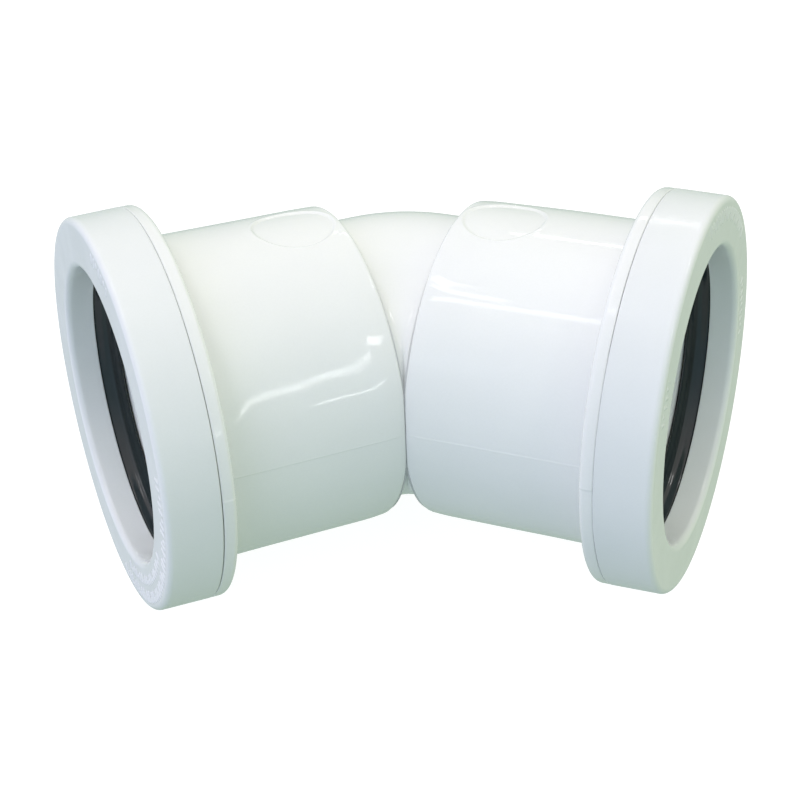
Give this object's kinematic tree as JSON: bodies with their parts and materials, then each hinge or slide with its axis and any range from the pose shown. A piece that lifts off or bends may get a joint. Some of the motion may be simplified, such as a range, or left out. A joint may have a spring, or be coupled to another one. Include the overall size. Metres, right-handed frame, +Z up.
{
  "type": "push-fit pipe bend",
  "caption": "Shallow push-fit pipe bend: a curved tube between sockets, each with a lip seal ring held by a clip-on retaining cap.",
  "frame": {"origin": "centre of the bounding box's underside; the flanges' and shoulders' lowest edges are at z = 0", "axes": "+Z up from the table that the fitting lies on; +X from the left mouth to the right mouth; the bend's inside faces -Y; the plane of the bend dips about 30 degrees toward +Y, as the fitting rests on its flanges and shoulders"},
  "size_m": [0.1028, 0.06, 0.0561],
  "materials": {
    "body_plastic": "glossy white moulded polypropylene",
    "cap_plastic": "glossy white moulded polypropylene, a shade cooler",
    "seal_rubber": "dark grey lubricated rubber"
  },
  "bodies": {
    "root": {"elbow_body": "body_plastic", "left_retaining_cap": "cap_plastic", "right_retaining_cap": "cap_plastic", "left_seal_ring": "seal_rubber", "right_seal_ring": "seal_rubber"}
  },
  "joints": []
}
